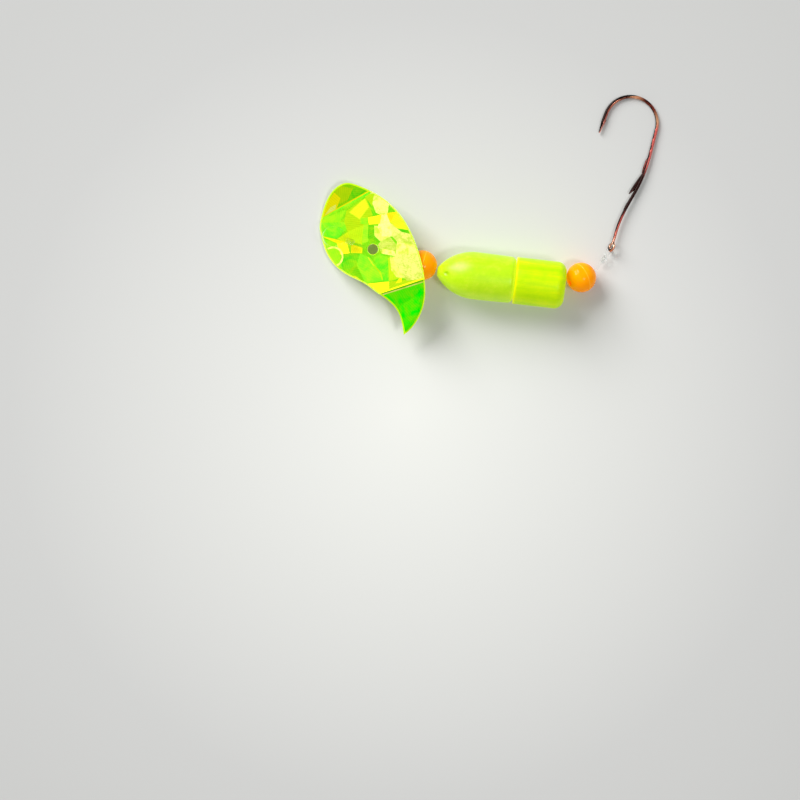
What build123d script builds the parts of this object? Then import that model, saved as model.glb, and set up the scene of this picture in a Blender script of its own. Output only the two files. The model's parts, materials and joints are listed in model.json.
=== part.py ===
from build123d import *
import math
import os

os.makedirs("parts", exist_ok=True)

# A floating in-line spinner laid flat on a table. A clear nylon leader carries, from its tied
# end loop at the front: a thin plastic spinner blade on its centre hole, a bead, a two-piece
# float, a second bead, and a hook that hangs in a loop of the line behind a knot.
# +X runs back along the float's axis, +Y is the side the hook lies on and +Z is up from the
# table. The origin is on the table, under the middle of the whole lure.

# ---------------------------------------------------------------- driving dimensions (mm, deg)
LINE_D = 0.35
BORE_R = 0.6
BEAD_R = 3.0
MOUTH_R = 0.8
MOUTH_DEPTH = 0.08

FLOAT_R = 4.75
NOSE_LENGTH = 15.5
NOSE_REAR_R = 4.62
NOSE_TIP_R = 0.85
NOSE_RIM = (0.22, 1.12)
NOSE_SHOULDER = 7.6
NOSE_EDGE_ROUND = 1.0
FLOAT_GAP = 0.12
REAR_LENGTH = 10.08
REAR_R = 4.7
REAR_EDGE_ROUND = 1.9
GATE_BALL_R = 0.8
GATE_AT = (1.9, -0.42, 3.66)

NOSE_X = -8.19
NOSE_Y = -13.28

FRONT_TURN = 11.3
NOSE_BEND_DEPTH = 1.2
BEND_TO_BEAD = 4.42
BEND_TO_HOLE = 14.79

BLADE_THICKNESS = 0.26
FILM_THICKNESS = 0.06
FILM_INSET = 0.3
BLADE_TILT = 20.4
HEAD_BEND = 15.0
TAIL_BEND = 26.0
BLADE_HOLE_R = 1.05
FILM_HOLE_R = 1.18

REAR_BEAD_REACH = 3.12
REAR_BEAD_SIDE = 2.17
TAIL_BEND_DEPTH = 0.35
PAST_REAR_BEAD = 0.55
LEVEL_REACH = 3.45

EYE_FROM_NOSE = (34.08, 8.27)
EYE_WIRE = 0.52
EYE_MID_R = 0.88
EYE_LEAN = 25.0
HOOK_WIRE = 0.66
HOOK_HEADING = 75.5
HOOK_BEND_R = 5.32
BEND_CENTRE = (25.5, 5.36)
HOOK_LENGTH = BEND_CENTRE[0] + HOOK_BEND_R
HOOK_ENTRY = 5.3
HOOK_END_TURN = 181.5
SPEAR_LENGTH = 1.7
POINT_LENGTH = 2.3
POINT_R = 0.06
SLICE_WIDTH = 0.42
BARB_WIDTH = 0.3

WRAPS = 5
WRAP_PITCH = 0.32
HOOK_WRAP_R = 0.33
LOOP_WRAP_R = 0.53
STRAND_OFFSET = 0.195
TAG_LENGTH = 1.1
TAG_ANGLE = 38.0
HOOK_LOOP_R = 0.62
HOOK_KNOT_REACH = 1.35
END_LOOP_R = 2.1
END_LOOP_REACH = 2.75
HOLE_TO_LOOP_KNOT = 5.7

UP = Vector(0, 0, 1)


def heading(degrees):
    """A level unit vector at an angle from +X towards +Y."""
    angle = math.radians(degrees)
    return Vector(math.cos(angle), math.sin(angle), 0)


# ------------------------------------------------------------------------- where things lie
nose_tip = Vector(NOSE_X, NOSE_Y, FLOAT_R)
forward = heading(180 - FRONT_TURN)
nose_bend = nose_tip + Vector(NOSE_BEND_DEPTH, 0, 0)
front_bead_centre = nose_bend + forward * BEND_TO_BEAD
blade_hole = nose_bend + forward * BEND_TO_HOLE
loop_knot_at = blade_hole + forward * HOLE_TO_LOOP_KNOT

float_length = NOSE_LENGTH + FLOAT_GAP + REAR_LENGTH
tail_bend = nose_tip + Vector(float_length - TAIL_BEND_DEPTH, 0, 0)
rear_bead_centre = nose_tip + Vector(float_length + REAR_BEAD_REACH, REAR_BEAD_SIDE, BEAD_R - FLOAT_R)
rear_way = (rear_bead_centre - tail_bend).normalized()

eye_half_height = EYE_MID_R * math.cos(math.radians(EYE_LEAN)) + EYE_WIRE / 2
hook_sink = math.asin((eye_half_height - HOOK_WIRE / 2) / (HOOK_LENGTH - EYE_MID_R))
eye_tip = math.sin(math.radians(EYE_LEAN)) * math.cos(hook_sink)
eye_height = EYE_MID_R * (math.sqrt(1 - eye_tip**2) + math.sin(hook_sink)) + EYE_WIRE / 2
swing_point = Vector(NOSE_X + EYE_FROM_NOSE[0], NOSE_Y + EYE_FROM_NOSE[1], eye_height)
bead_exit = rear_bead_centre + rear_way * (BEAD_R + PAST_REAR_BEAD)
to_eye = swing_point - bead_exit
eye_way = Vector(to_eye.X, to_eye.Y, 0).normalized()
hook_knot_at = swing_point - eye_way * HOOK_KNOT_REACH
level_point = swing_point - eye_way * LEVEL_REACH


# ------------------------------------------------------------------------------- the leader
# One length of clear nylon line. It runs straight through the bores, turns gently in the
# float's nose and sharply at its rear bore, and ends at the two knots. Beyond each knot the
# line goes round a closed loop and comes back to it.
leader_points = [loop_knot_at, nose_bend, tail_bend, bead_exit, level_point, hook_knot_at]
leader_radii = [6.0, 0.95, 1.9, 1.6]


def loop_in_line(knot_at, way, reach, radius):
    """A loop of line: out from the knot on one side, round, and back on the other."""
    span = math.hypot(reach, STRAND_OFFSET)
    touch = math.atan2(STRAND_OFFSET, -reach) - math.acos(radius / span)
    touch_x = reach + radius * math.cos(touch)
    touch_y = radius * math.sin(touch)
    with BuildPart() as loop:
        with BuildLine(Plane(origin=knot_at, x_dir=way, z_dir=UP)) as route:
            Line((0, STRAND_OFFSET), (touch_x, touch_y))
            ThreePointArc((touch_x, touch_y), (reach + radius, 0), (touch_x, -touch_y))
            Line((touch_x, -touch_y), (0, -STRAND_OFFSET))
        start = route.line
        with BuildSketch(Plane(origin=start @ 0, z_dir=start % 0)):
            Circle(LINE_D / 2)
        sweep(path=start)
    return loop.part


with BuildPart() as leader:
    with BuildLine() as leader_route:
        FilletPolyline(*leader_points, radius=leader_radii)
    with BuildSketch(Plane(origin=leader_route.line @ 0, z_dir=leader_route.line % 0)):
        Circle(LINE_D / 2)
    sweep(path=leader_route.line)
    add(loop_in_line(loop_knot_at, forward, END_LOOP_REACH, END_LOOP_R))
    add(loop_in_line(hook_knot_at, eye_way, HOOK_KNOT_REACH, HOOK_LOOP_R))
leader.part.label = "leader"
export_step(leader.part, "parts/leader.step")


# -------------------------------------------------------------------------------- the knots
# Each knot is a short barrel of line wraps drawn tight on the leader, with a trimmed tag end
# that stands out beside the line.
def knot(knot_at, way, wrap_radius, tag_side):
    """A barrel of wraps that reaches back from the loop's side of the knot."""
    tag_start = wrap_radius + LINE_D / 4
    with BuildPart(Plane(origin=knot_at, x_dir=tag_side, z_dir=way * -1)) as barrel:
        for wrap in range(WRAPS):
            with Locations((0, 0, wrap * WRAP_PITCH)):
                Torus(wrap_radius, LINE_D / 2)
        with Locations(Location((tag_start, 0, WRAPS * WRAP_PITCH / 2), (0, TAG_ANGLE, 0))):
            Cylinder(LINE_D / 2, TAG_LENGTH, align=(Align.CENTER, Align.CENTER, Align.MIN))
    return barrel.part


with BuildPart() as loop_knot:
    add(knot(loop_knot_at, forward, LOOP_WRAP_R, UP))
loop_knot.part.label = "loop_knot"
export_step(loop_knot.part, "parts/loop_knot.step")

with BuildPart() as hook_knot:
    add(knot(hook_knot_at, eye_way, HOOK_WRAP_R, UP))
hook_knot.part.label = "hook_knot"
export_step(hook_knot.part, "parts/hook_knot.step")


# -------------------------------------------------------------------------------- the blade
# A comma-shaped piece of thin clear plastic. It is creased across the head and across the
# tail, so the head lifts and the tail drops. The blade leans back along the line that passes
# through its centre hole. Its own axes are x back along the line and y to the hook's side.
blade_plane = Plane(origin=blade_hole, x_dir=forward * -1, z_dir=UP)

TAIL_TIP = (11.12, -14.4)
FILM_TIP = (11.2, -13.75)
HEAD_CREASE = ((-11.94, 2.87), (-4.42, 10.74))
TAIL_CREASE = ((3.99, -8.19), (11.6, -2.71))
SLAB_REACH = 12.0

BACK = [(-11.92, 2.6), (-11.95, 6.3), (-11.1, 9.3), (-9.4, 11.05), (-6.8, 11.35), (-1.3, 10.4)]
BACK += [(3.8, 7.72), (7.0, 4.6), (9.75, 0.9), (11.7, -2.7), (12.96, -6.5), (12.93, -10.3), (11.78, -13.5)]
TAIL_INNER = [(10.05, -12.27), (8.1, -9.95), (6.65, -9.1), (3.99, -8.19)]
BELLY = [(1.0, -7.15), (-3.06, -6.45), (-6.4, -5.25), (-9.05, -3.05), (-11.0, -0.15)]


def drawn_in(edge, points, margin):
    """Points of an edge moved into the blade, square to the edge."""
    return [Vector(*at) + edge.tangent_at(Vector(*at)).rotate(Axis.Z, -90) * margin for at in points]


def blade_outline(margin, tip):
    """The blade's edge seen from above, clockwise: head and back, hooked tail and belly."""
    edge = Spline(*BACK, mode=Mode.PRIVATE)
    inner = Spline(TAIL_TIP, *TAIL_INNER, mode=Mode.PRIVATE)
    ends = [inner % 1, edge % 0]
    belly = Spline(TAIL_INNER[-1], *BELLY, BACK[0], tangents=ends, mode=Mode.PRIVATE)
    with BuildSketch() as outline:
        with BuildLine():
            back = Spline(*drawn_in(edge, BACK, margin))
            Line(back @ 1, tip)
            inner = Spline(tip, *drawn_in(inner, TAIL_INNER, margin))
            Spline(inner @ 1, *drawn_in(belly, BELLY, margin), back @ 0, tangents=[inner % 1, back % 0])
        make_face()
    return outline.sketch


def crease_in_space(crease):
    """The two ends of a crease, on the level line through them raised to the leaning panel."""
    return [Vector(x, y, x * math.tan(math.radians(BLADE_TILT))) for x, y in crease]


def crease_wall(crease):
    """The upright plane along a crease, facing away from the middle of the blade."""
    first, last = Vector(*crease[0]), Vector(*crease[1])
    along = (last - first).normalized()
    facing = UP.cross(along)
    return Plane(origin=first, x_dir=along, z_dir=facing)


panel_normal = Vector(-math.sin(math.radians(BLADE_TILT)), 0, math.cos(math.radians(BLADE_TILT)))


def bent_panel(crease, bend):
    """A point and the facing of the panel that is folded along a crease."""
    first, last = crease_in_space(crease)
    along = (last - first).normalized()
    return first, panel_normal.rotate(Axis((0, 0, 0), along), bend)


def sheet_panel(base, thickness, outline, hole_r, origin, normal, walls):
    """One flat panel of the blade, from base to base + thickness in height above mid-sheet."""
    with BuildPart() as panel:
        with BuildSketch(Plane.XY.offset(-SLAB_REACH)):
            add(outline)
            Circle(hole_r, mode=Mode.SUBTRACT)
        extrude(amount=2 * SLAB_REACH)
        for wall, side in walls:
            split(bisect_by=wall, keep=side)
        split(bisect_by=Plane(origin=origin + UP * (base + thickness), z_dir=normal), keep=Keep.BOTTOM)
        split(bisect_by=Plane(origin=origin + UP * base, z_dir=normal), keep=Keep.TOP)
    return panel.part


def sheet(base, thickness, outline, hole_r):
    """The head, middle and tail panels joined into one creased sheet, at the blade's hole."""
    head_wall, tail_wall = crease_wall(HEAD_CREASE), crease_wall(TAIL_CREASE)
    head_origin, head_normal = bent_panel(HEAD_CREASE, HEAD_BEND)
    tail_origin, tail_normal = bent_panel(TAIL_CREASE, TAIL_BEND)
    middle = [(head_wall, Keep.BOTTOM), (tail_wall, Keep.TOP)]
    with BuildPart() as joined:
        add(sheet_panel(base, thickness, outline, hole_r, Vector(0, 0, 0), panel_normal, middle))
        add(sheet_panel(base, thickness, outline, hole_r, head_origin, head_normal, [(head_wall, Keep.TOP)]))
        add(sheet_panel(base, thickness, outline, hole_r, tail_origin, tail_normal, [(tail_wall, Keep.BOTTOM)]))
    return blade_plane.location * joined.part


upright = 1 / math.cos(math.radians(BLADE_TILT))
blade_height = BLADE_THICKNESS * upright
film_height = FILM_THICKNESS * upright
blade_base = -(blade_height + film_height) / 2

with BuildPart() as blade:
    add(sheet(blade_base, blade_height, blade_outline(0, TAIL_TIP), BLADE_HOLE_R))
blade.part.label = "blade"
export_step(blade.part, "parts/blade.step")

# The holographic film is laminated on the blade's upper face, a little inside its edge.
with BuildPart() as blade_film:
    film_outline = blade_outline(FILM_INSET, FILM_TIP)
    add(sheet(blade_base + blade_height, film_height, film_outline, FILM_HOLE_R))
blade_film.part.label = "blade_film"
export_step(blade_film.part, "parts/blade_film.step")


# -------------------------------------------------------------------------------- the beads
# Round moulded plastic beads, each with a bore for the line and its mouths eased.
def bead(centre, way):
    """A bead on its centre with its bore along the line."""
    mouth_height = math.sqrt(BEAD_R**2 - BORE_R**2)
    with BuildPart(Plane(origin=centre, z_dir=way)) as ball:
        Sphere(BEAD_R)
        Cylinder(BORE_R, 2 * BEAD_R, mode=Mode.SUBTRACT)
        for end in (1, -1):
            with Locations((0, 0, end * mouth_height)):
                Cylinder(MOUTH_R, 2 * MOUTH_DEPTH, mode=Mode.SUBTRACT)
    return ball.part


with BuildPart() as front_bead:
    add(bead(front_bead_centre, forward))
front_bead.part.label = "front_bead"
export_step(front_bead.part, "parts/front_bead.step")

with BuildPart() as rear_bead:
    add(bead(rear_bead_centre, rear_way))
rear_bead.part.label = "rear_bead"
export_step(rear_bead.part, "parts/rear_bead.step")


# -------------------------------------------------------------------------------- the float
# The nose is a bullet turned about the bore, widest behind its shoulder, with a rounded rear
# edge and the small dimple of its moulding gate near the tip.
float_axis = Plane(origin=nose_tip, x_dir=(1, 0, 0), z_dir=(0, -1, 0))
ogive_length = NOSE_SHOULDER - NOSE_RIM[0]
ogive_rise = FLOAT_R - NOSE_RIM[1]
ogive_r = (ogive_length**2 + ogive_rise**2) / (2 * ogive_rise)

with BuildPart() as float_nose:
    with BuildSketch(float_axis):
        with BuildLine():
            Line((0, BORE_R), (0, NOSE_TIP_R))
            Line((0, NOSE_TIP_R), NOSE_RIM)
            ogive = RadiusArc(NOSE_RIM, (NOSE_SHOULDER, FLOAT_R), ogive_r)
            taper = Line(ogive @ 1, (NOSE_LENGTH - NOSE_EDGE_ROUND, NOSE_REAR_R))
            edge = TangentArc(
                taper @ 1,
                (NOSE_LENGTH, NOSE_REAR_R - NOSE_EDGE_ROUND),
                tangent=taper % 1,
            )
            Line(edge @ 1, (NOSE_LENGTH, BORE_R))
            Line((NOSE_LENGTH, BORE_R), (0, BORE_R))
        make_face()
    revolve(axis=Axis(nose_tip, (1, 0, 0)))
    with Locations(nose_tip + Vector(*GATE_AT)):
        Sphere(GATE_BALL_R, mode=Mode.SUBTRACT)
float_nose.part.label = "float_nose"
export_step(float_nose.part, "parts/float_nose.step")

# The rear piece is a plain cylinder on the same bore: a sharp front edge against the nose and
# a well-rounded rear edge.
rear_start = NOSE_LENGTH + FLOAT_GAP

with BuildPart() as float_rear:
    with BuildSketch(float_axis):
        with BuildLine():
            Line((rear_start, BORE_R), (rear_start, REAR_R))
            Line((rear_start, REAR_R), (float_length - REAR_EDGE_ROUND, REAR_R))
            RadiusArc(
                (float_length - REAR_EDGE_ROUND, REAR_R),
                (float_length, REAR_R - REAR_EDGE_ROUND),
                REAR_EDGE_ROUND,
            )
            Line((float_length, REAR_R - REAR_EDGE_ROUND), (float_length, BORE_R))
            Line((float_length, BORE_R), (rear_start, BORE_R))
        make_face()
    revolve(axis=Axis(nose_tip, (1, 0, 0)))
float_rear.part.label = "float_rear"
export_step(float_rear.part, "parts/float_rear.step")


# --------------------------------------------------------------------------------- the hook
# Bronzed wire in one piece: an eye ring that leans over from standing on edge, a shank with a
# slow kink and bait slices on the gap's side, a round bend, and a needle point with a small
# barb. The hook lies a little nose-down, so that the eye and the bend both rest on the table.
hook_way = heading(HOOK_HEADING) * math.cos(hook_sink) - UP * math.sin(hook_sink)
hook_side = heading(HOOK_HEADING + 90)
hook_plane = Plane(origin=swing_point, x_dir=hook_way, z_dir=hook_way.cross(hook_side))
eye_facing = hook_side.rotate(Axis((0, 0, 0), hook_way), EYE_LEAN)
entry = math.radians(HOOK_ENTRY)
bend_start = (
    BEND_CENTRE[0] + HOOK_BEND_R * math.sin(entry),
    BEND_CENTRE[1] - HOOK_BEND_R * math.cos(entry),
)
shank_points = [(1.7, 0.05), (6.0, 0.33), (16.9, -0.74), bend_start]
shank_radii = [16.0, 22.0]

# The bait slices are slivers of the shank lifted on the gap's side, each with its free end
# towards the eye. The barb is a smaller one inside the point, with its free end to the bend.
SLICES = [
    [(19.9, -0.45), (19.0, -0.06), (16.8, -0.18), (16.4, -0.6)],
    [(16.6, -0.6), (14.6, 0.12), (12.9, 0.72), (12.3, 0.64), (12.7, -0.3)],
    [(12.6, -0.3), (9.0, 0.56), (8.5, 0.5), (8.9, 0.0)],
]
BARB = [(22.2, 10.6), (22.5, 10.35), (24.1, 10.08), (23.9, 10.5)]

with BuildPart() as hook:
    with BuildLine(hook_plane) as hook_route:
        shank = FilletPolyline(*shank_points, radius=shank_radii)
        bend = JernArc(
            shank @ 1,
            shank % 1,
            HOOK_BEND_R,
            HOOK_END_TURN - HOOK_ENTRY,
        )
        spear = Line(bend @ 1, (bend @ 1) + (bend % 1) * SPEAR_LENGTH)
    with BuildSketch(Plane(origin=hook_route.line @ 0, z_dir=hook_route.line % 0)):
        Circle(HOOK_WIRE / 2)
    sweep(path=hook_route.line)
    with Locations(Plane(origin=spear @ 1, z_dir=spear % 1)):
        Cone(
            HOOK_WIRE / 2,
            POINT_R,
            POINT_LENGTH,
            align=(Align.CENTER, Align.CENTER, Align.MIN),
        )
    with Locations(Plane(origin=swing_point + hook_way * EYE_MID_R, z_dir=eye_facing)):
        Torus(EYE_MID_R, EYE_WIRE / 2)
    with BuildSketch(hook_plane.offset(-SLICE_WIDTH / 2)):
        for sliver in SLICES:
            with BuildLine():
                Polyline(*sliver, close=True)
            make_face()
    extrude(amount=SLICE_WIDTH)
    with BuildSketch(hook_plane.offset(-BARB_WIDTH / 2)):
        with BuildLine():
            Polyline(*BARB, close=True)
        make_face()
    extrude(amount=BARB_WIDTH)
hook.part.label = "hook"
export_step(hook.part, "parts/hook.step")


# --------------------------------------------------------------- dimensions for the record
pieces = [leader, loop_knot, hook_knot, blade, blade_film]
pieces += [front_bead, float_nose, float_rear, rear_bead, hook]
whole = Compound(children=[piece.part for piece in pieces]).bounding_box()
print("whole lure from", whole.min, "to", whole.max)
for piece in pieces:
    box = piece.part.bounding_box()
    print(piece.part.label, "from", box.min, "to", box.max)
leader_length = sum(edge.length for edge in leader_route.edges())
print("leader length", round(leader_length, 2), "radii", leader_radii)
print("blade hole", blade_hole, "spin axis", forward * -1)
print("front bead", front_bead_centre)
print("float axis point", nose_tip)
print("rear bead", rear_bead_centre, "bore axis", rear_way)
print("hook swing point", swing_point, "line way", eye_way)
print("end loop centre", loop_knot_at + forward * END_LOOP_REACH)
print("hook bend centre", hook_plane.from_local_coords(BEND_CENTRE))
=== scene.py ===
import json
import math

import bmesh
import bpy
from mathutils import Matrix, Vector


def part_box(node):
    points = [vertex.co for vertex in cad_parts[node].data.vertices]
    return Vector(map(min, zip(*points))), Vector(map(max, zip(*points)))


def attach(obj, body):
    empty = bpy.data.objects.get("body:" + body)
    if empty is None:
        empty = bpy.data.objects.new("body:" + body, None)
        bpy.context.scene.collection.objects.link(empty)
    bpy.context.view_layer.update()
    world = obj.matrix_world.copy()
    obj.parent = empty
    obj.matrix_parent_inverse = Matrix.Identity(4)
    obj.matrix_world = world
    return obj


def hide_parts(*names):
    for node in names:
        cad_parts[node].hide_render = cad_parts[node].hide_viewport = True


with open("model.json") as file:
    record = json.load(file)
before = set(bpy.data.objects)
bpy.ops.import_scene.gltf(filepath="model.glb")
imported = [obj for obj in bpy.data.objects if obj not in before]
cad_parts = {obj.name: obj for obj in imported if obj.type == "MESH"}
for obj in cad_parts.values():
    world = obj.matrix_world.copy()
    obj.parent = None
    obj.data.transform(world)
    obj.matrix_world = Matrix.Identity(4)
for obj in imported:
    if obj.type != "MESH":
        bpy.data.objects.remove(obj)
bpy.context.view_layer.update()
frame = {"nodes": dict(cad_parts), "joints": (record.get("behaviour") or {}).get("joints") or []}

# ---------------------------------------------------------------------------- camera
# A long lens looks straight down on the lure from 0.7 m above the table. The picture is
# 160 mm wide at the height of the float's axis and stands a little askew to that axis.
MM = 0.001
UP = Vector((0, 0, 1))
FLOAT_AXIS_HEIGHT = 4.75
PICTURE_WIDTH = 160
CAMERA_HEIGHT = 700
picture_centre = Vector((-12.64, -39.7, FLOAT_AXIS_HEIGHT))

bpy.ops.object.camera_add(
    location=(picture_centre + UP * CAMERA_HEIGHT) * MM,
    rotation=(0, 0, math.radians(6.6)),
)
camera = bpy.context.object
camera.name = "table_camera"
camera.data.lens = camera.data.sensor_width * CAMERA_HEIGHT / PICTURE_WIDTH
camera.data.clip_start = 0.01
camera.data.clip_end = 20
bpy.context.scene.camera = camera

# ------------------------------------------------------------------ table and light
# The lure lies on a sheet of smooth off-white card whose colour carries a painted pool of light,
# brightest under the middle of the picture. A wide soft box stands up and to the left, a small one
# over the right gives the glints, and a pale room fills the rest.
PAINTED_POOL_TONES = [
    (0.12, (0.535, 0.535, 0.522, 1)),
    (0.36, (0.565, 0.565, 0.552, 1)),
    (0.55, (0.635, 0.636, 0.615, 1)),
    (0.84, (0.735, 0.739, 0.705, 1)),
    (1.0, (0.79, 0.794, 0.75, 1)),
]
PAINTED_POOL_RADIUS = 125
painted_pool_centre = Vector((-11.0, -41.5, 0))


def let_go():
    """Leaves object mode as it should be, with nothing selected."""
    if bpy.context.object and bpy.context.object.mode != "OBJECT":
        bpy.ops.object.mode_set(mode="OBJECT")
    bpy.ops.object.select_all(action="DESELECT")


def new_finish(name):
    """An empty material with its Principled shader wired to the output."""
    finish = bpy.data.materials.new(name)
    finish.use_nodes = True
    finish.node_tree.nodes.clear()
    output = finish.node_tree.nodes.new("ShaderNodeOutputMaterial")
    shader = finish.node_tree.nodes.new("ShaderNodeBsdfPrincipled")
    finish.node_tree.links.new(shader.outputs["BSDF"], output.inputs["Surface"])
    return finish, finish.node_tree.nodes, finish.node_tree.links, shader


def tone_ramp(nodes, stops):
    """A colour ramp with the given (position, colour) stops."""
    ramp = nodes.new("ShaderNodeValToRGB")
    while len(ramp.color_ramp.elements) < len(stops):
        ramp.color_ramp.elements.new(0.5)
    for element, (position, colour) in zip(ramp.color_ramp.elements, stops):
        element.position = position
        element.color = colour
    return ramp


def math_step(nodes, operation, second=None):
    """A maths node, with its second number set unless it is left to a link."""
    step = nodes.new("ShaderNodeMath")
    step.operation = operation
    if second is not None:
        step.inputs[1].default_value = second
    return step


def tone_mix(nodes, over):
    """A mix of two colours, the second of them set to the given one."""
    mix = nodes.new("ShaderNodeMix")
    mix.data_type = "RGBA"
    mix.inputs[7].default_value = over
    return mix


let_go()
bpy.ops.mesh.primitive_plane_add(size=8, location=(0, 0, -0.00002))
card = bpy.context.object
card.name = "table_card"
bpy.ops.object.transform_apply(location=True, rotation=True, scale=True)

card_finish, nodes, links, shader = new_finish("off_white_card_painted_pool")
place = nodes.new("ShaderNodeTexCoord")
pool = nodes.new("ShaderNodeMapping")
pool.inputs["Location"].default_value = -painted_pool_centre / PAINTED_POOL_RADIUS
pool.inputs["Scale"].default_value = (1 / (PAINTED_POOL_RADIUS * MM),) * 3
spread = nodes.new("ShaderNodeTexGradient")
spread.gradient_type = "SPHERICAL"
shade = tone_ramp(nodes, PAINTED_POOL_TONES)
tooth = nodes.new("ShaderNodeTexNoise")
tooth.inputs["Scale"].default_value = 900
tooth_bump = nodes.new("ShaderNodeBump")
tooth_bump.inputs["Strength"].default_value = 0.04
tooth_bump.inputs["Distance"].default_value = 0.00005
links.new(place.outputs["Object"], pool.inputs["Vector"])
links.new(pool.outputs["Vector"], spread.inputs["Vector"])
links.new(spread.outputs["Fac"], shade.inputs["Fac"])
links.new(shade.outputs["Color"], shader.inputs["Base Color"])
links.new(place.outputs["Object"], tooth.inputs["Vector"])
links.new(tooth.outputs["Fac"], tooth_bump.inputs["Height"])
links.new(tooth_bump.outputs["Normal"], shader.inputs["Normal"])
shader.inputs["Roughness"].default_value = 0.85
shader.inputs["Specular IOR Level"].default_value = 0.1
card.data.materials.append(card_finish)

world = bpy.data.worlds.new("pale_room")
bpy.context.scene.world = world
world.use_nodes = True
world.node_tree.nodes["Background"].inputs["Color"].default_value = (0.97, 0.985, 1, 1)
world.node_tree.nodes["Background"].inputs["Strength"].default_value = 0.31
bpy.context.scene.view_settings.view_transform = "Standard"

LAMP_TARGET = Vector((-2, -6, 3))


def soft_box(name, bearing, elevation, distance, size, watts):
    """A square lamp that faces the lure. Bearing is counted from +X towards +Y."""
    turn, lift = math.radians(bearing), math.radians(elevation)
    level = math.cos(lift)
    way = Vector((math.cos(turn) * level, math.sin(turn) * level, math.sin(lift)))
    bpy.ops.object.light_add(type="AREA", location=LAMP_TARGET * MM + way * distance)
    lamp = bpy.context.object
    lamp.name = name
    lamp.rotation_euler = way.to_track_quat("Z", "Y").to_euler()
    lamp.data.size = size
    lamp.data.energy = watts


soft_box("wide_box", 140, 34, 2.2, 1.4, 64)
soft_box("top_box", -27, 66, 1.2, 0.2, 3.4)

# ------------------------------------------------------------------------- the leader
# One length of clear nylon line, 0.35 mm thick, threads every part and ends in a closed
# loop at each knot. It is drawn smooth, so it has faint draw marks and a wet shine.


def wears(piece, finish):
    """Puts one finish all over a piece."""
    piece.data.materials.clear()
    piece.data.materials.append(finish)


nylon, nodes, links, shader = new_finish("clear_nylon")
place = nodes.new("ShaderNodeTexCoord")
draw_marks = nodes.new("ShaderNodeTexNoise")
draw_marks.inputs["Scale"].default_value = 2600
draw_marks.inputs["Detail"].default_value = 3
clearness = tone_ramp(nodes, [(0.3, (0.84, 0.9, 0.87, 1)), (0.7, (0.97, 1.0, 0.985, 1))])
mark_bump = nodes.new("ShaderNodeBump")
mark_bump.inputs["Strength"].default_value = 0.15
mark_bump.inputs["Distance"].default_value = 0.00002
links.new(place.outputs["Object"], draw_marks.inputs["Vector"])
links.new(draw_marks.outputs["Fac"], clearness.inputs["Fac"])
links.new(clearness.outputs["Color"], shader.inputs["Base Color"])
links.new(draw_marks.outputs["Fac"], mark_bump.inputs["Height"])
links.new(mark_bump.outputs["Normal"], shader.inputs["Normal"])
shader.inputs["Roughness"].default_value = 0.08
shader.inputs["IOR"].default_value = 1.3
shader.inputs["Transmission Weight"].default_value = 1.0
shader.inputs["Alpha"].default_value = 0.3
wears(frame["nodes"]["leader"], nylon)

# -------------------------------------------------------------------------- the knots
# Each knot is five tight turns of the same line round the leader, wound on by hand, with
# the cut tag end standing out at the side. One ties the front loop and one the hook.
LINE_R = 0.175
TURNS = 5
TURN_PITCH = 0.32
RING_SIDES = 14
STEPS_PER_TURN = 28
TAG_STEPS = ((0.02, 0.16, 0.05), (0.03, 0.16, 0.12), (0.03, 0.12, 0.2), (0.02, 0.05, 0.25))
HOLE_TO_LOOP_KNOT = 4.1
LOOP_WRAP_R = 0.53
EYE_TO_HOOK_KNOT = 1.35
HOOK_WRAP_R = 0.33
joints = {joint["name"]: joint for joint in frame["joints"]}
blade_hole = Vector(joints["blade_spin"]["pos_m"])
line_way = Vector(joints["blade_spin"]["axis"])
swing_point = Vector(joints["hook_swing"]["pos_m"])
knot_to_eye = Vector((0.4955, 0.8686, 0))


def wound_knot(name, start, back, wrap_r, node):
    """Turns of line that run back from start, and the tag end beyond the last turn."""
    let_go()
    bpy.ops.mesh.primitive_circle_add(
        vertices=RING_SIDES,
        radius=LINE_R * MM,
        location=(wrap_r * MM, 0, 0),
        rotation=(math.radians(90), 0, 0),
    )
    knot = bpy.context.object
    knot.name = name
    bpy.ops.object.transform_apply(location=True, rotation=True, scale=True)
    winding = knot.modifiers.new("winding", "SCREW")
    winding.axis = "Z"
    winding.screw_offset = TURN_PITCH * MM
    winding.iterations = TURNS
    winding.steps = STEPS_PER_TURN
    winding.render_steps = STEPS_PER_TURN
    bpy.ops.object.modifier_apply(modifier=winding.name)
    bpy.ops.object.mode_set(mode="EDIT")
    bpy.ops.mesh.select_all(action="SELECT")
    bpy.ops.mesh.remove_doubles(threshold=1e-7)
    bpy.ops.mesh.select_all(action="DESELECT")
    bpy.ops.mesh.select_non_manifold()
    bpy.ops.mesh.fill_holes(sides=RING_SIDES)
    shape = bmesh.from_edit_mesh(knot.data)
    ends = [face for face in shape.faces if len(face.verts) == RING_SIDES]
    last = max(ends, key=lambda face: face.calc_center_median().z)
    bpy.ops.mesh.select_all(action="DESELECT")
    last.select = True
    bmesh.update_edit_mesh(knot.data)
    for step in TAG_STEPS:
        bpy.ops.mesh.extrude_region_move(TRANSFORM_OT_translate={"value": Vector(step) * MM})
    bpy.ops.mesh.select_all(action="SELECT")
    bpy.ops.mesh.normals_make_consistent(inside=False)
    bpy.ops.object.mode_set(mode="OBJECT")
    across = back.cross(UP).normalized()
    turned = Matrix((UP, across, back)).transposed().to_4x4()
    knot.matrix_world = Matrix.Translation(start) @ turned
    bpy.ops.object.transform_apply(location=True, rotation=True, scale=True)
    bpy.ops.object.shade_smooth_by_angle(angle=math.radians(50))
    wears(knot, nylon)
    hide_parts(node)
    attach(knot, "line")


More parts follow.
